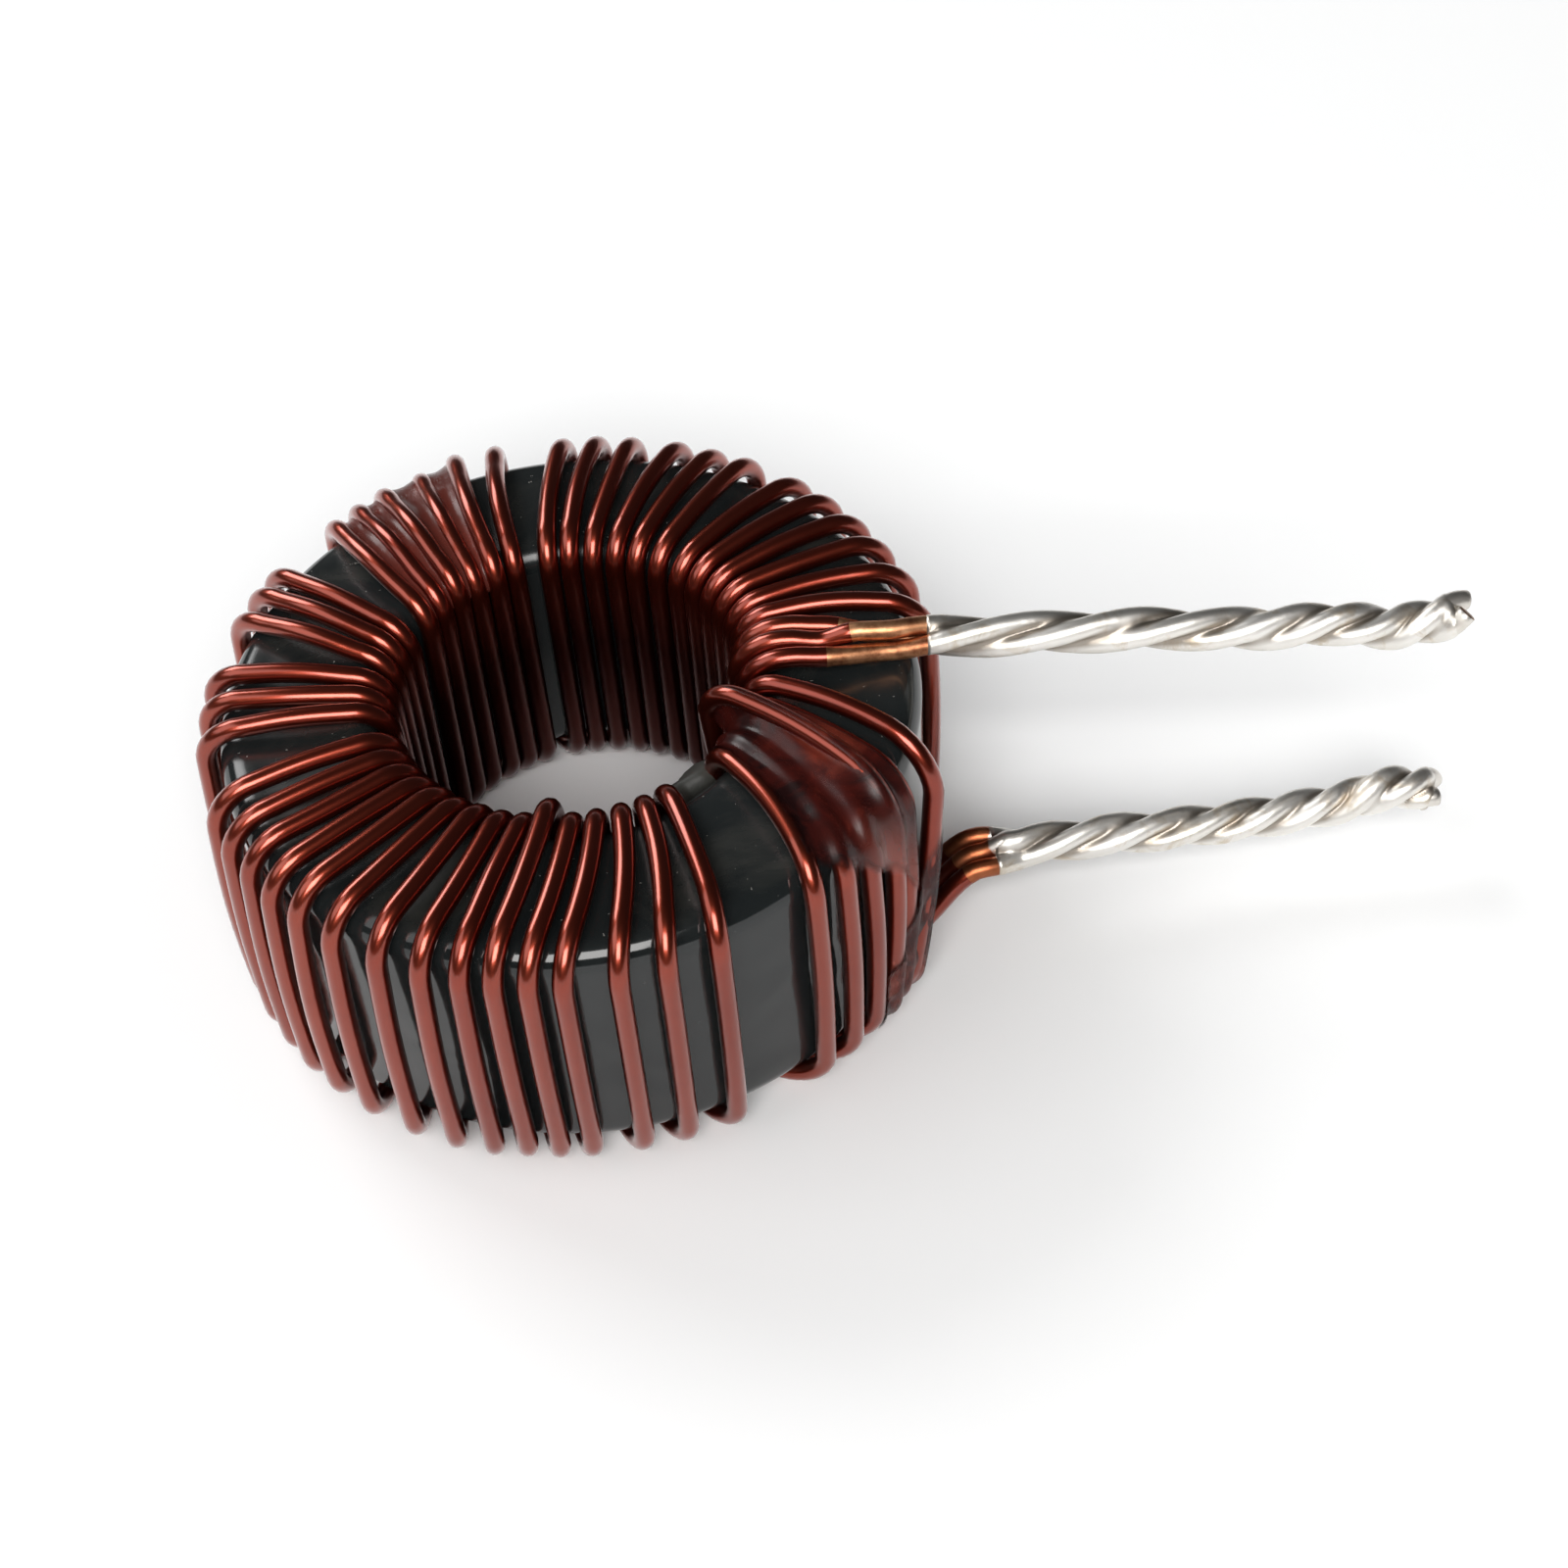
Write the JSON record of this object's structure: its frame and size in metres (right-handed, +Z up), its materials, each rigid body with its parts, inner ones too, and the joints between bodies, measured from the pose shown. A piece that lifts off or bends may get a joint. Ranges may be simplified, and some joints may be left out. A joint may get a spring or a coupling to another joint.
{
  "type": "toroidal inductor",
  "caption": "Toroidal power inductor: lacquered powder-core ring wound with parallel enamelled copper wires, ending in two twisted, tinned leads.",
  "frame": {"origin": "on the axis of the ring, at the level of the underside of the winding that the part rests on", "axes": "+Z up along the axis of the ring, +X the way the leads run out, +Y to the back"},
  "size_m": [0.0487, 0.0293, 0.0138],
  "materials": {
    "core_lacquer": "gloss",
    "enamelled_wire": "gloss",
    "tinned_lead": "satin",
    "bare_copper": "satin"
  },
  "bodies": {
    "root": {"core": "core_lacquer", "strand_1": "enamelled_wire", "strand_2": "enamelled_wire", "strand_3": "enamelled_wire"}
  },
  "joints": []
}
